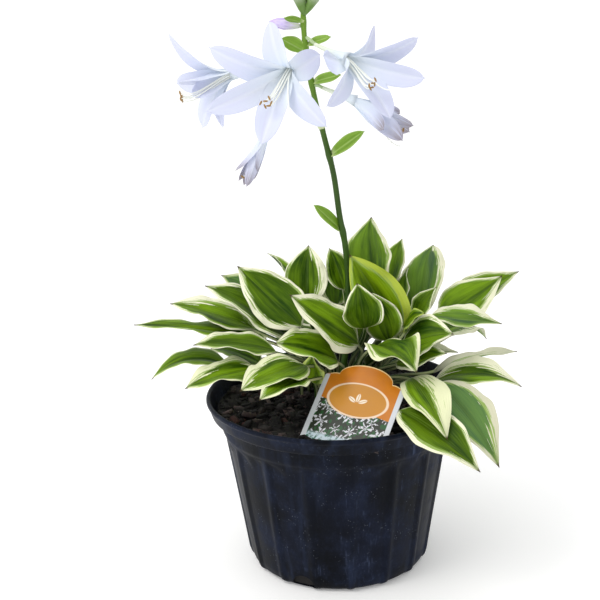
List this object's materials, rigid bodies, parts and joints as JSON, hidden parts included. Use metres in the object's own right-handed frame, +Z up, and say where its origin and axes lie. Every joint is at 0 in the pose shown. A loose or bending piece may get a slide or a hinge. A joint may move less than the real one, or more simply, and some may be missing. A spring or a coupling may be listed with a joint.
{
  "type": "potted hosta plant",
  "caption": "Potted hosta: cream-edged leaves on stalks, a flower stem with open pale lilac blooms, a plant card, potting soil and a fluted plastic nursery pot.",
  "frame": {"origin": "middle of the pot's foot, on the surface the pot stands on", "axes": "+Z up along the pot's axis, -Y towards the front where the plant card stands, +X to the right as seen from the front"},
  "size_m": [0.3182, 0.2659, 0.4841],
  "materials": {
    "pot_plastic": "satin",
    "potting_mix": "matte",
    "card_plastic": "satin",
    "leaf_tissue": "satin",
    "scape_tissue": "satin",
    "petal_tissue": "matte",
    "bud_tissue": "matte"
  },
  "bodies": {
    "root": {"bloom_front_left": "petal_tissue", "bloom_hanging": "petal_tissue", "bloom_left": "petal_tissue", "bloom_right": "petal_tissue", "bloom_right_low": "petal_tissue", "bud_left": "bud_tissue", "flower_scape": "scape_tissue", "leaf_back_left": "leaf_tissue", "leaf_back_low": "leaf_tissue", "leaf_back_low_left": "leaf_tissue", "leaf_back_low_right": "leaf_tissue", "leaf_back_middle": "leaf_tissue", "leaf_back_right": "leaf_tissue", "leaf_corner_broad": "leaf_tissue", "leaf_corner_hanging": "leaf_tissue", "leaf_corner_short": "leaf_tissue", "leaf_front_cream": "leaf_tissue", "leaf_front_curled": "leaf_tissue", "leaf_front_folded": "leaf_tissue", "leaf_inner_back": "leaf_tissue", "leaf_inner_left": "leaf_tissue", "leaf_inner_middle": "leaf_tissue", "leaf_inner_right": "leaf_tissue", "leaf_left_behind": "leaf_tissue", "leaf_left_broad": "leaf_tissue", "leaf_left_dark": "leaf_tissue", "leaf_left_droop": "leaf_tissue", "leaf_left_flat": "leaf_tissue", "leaf_left_front": "leaf_tissue", "leaf_left_lower": "leaf_tissue", "leaf_left_pale": "leaf_tissue", "leaf_left_tucked": "leaf_tissue", "leaf_middle_back": "leaf_tissue", "leaf_middle_bright": "leaf_tissue", "leaf_middle_dark": "leaf_tissue", "leaf_middle_hung": "leaf_tissue", "leaf_middle_lime": "leaf_tissue", "leaf_middle_small": "leaf_tissue", "leaf_right_facing": "leaf_tissue", "leaf_right_high": "leaf_tissue", "leaf_right_high_back": "leaf_tissue", "leaf_right_level": "leaf_tissue", "leaf_right_low": "leaf_tissue", "leaf_right_pale": "leaf_tissue", "leaf_right_reach": "leaf_tissue", "leaf_right_sharp": "leaf_tissue", "leaf_right_under": "leaf_tissue", "leaf_rounded_right": "leaf_tissue", "leaf_slim_left": "leaf_tissue", "leaf_slim_right": "leaf_tissue", "leaf_small_right": "leaf_tissue", "leaf_tall_left": "leaf_tissue", "leaf_tall_right": "leaf_tissue", "leaves_front_left": "leaf_tissue", "plant_card": "card_plastic", "pot": "pot_plastic", "soil": "potting_mix"}
  },
  "joints": []
}
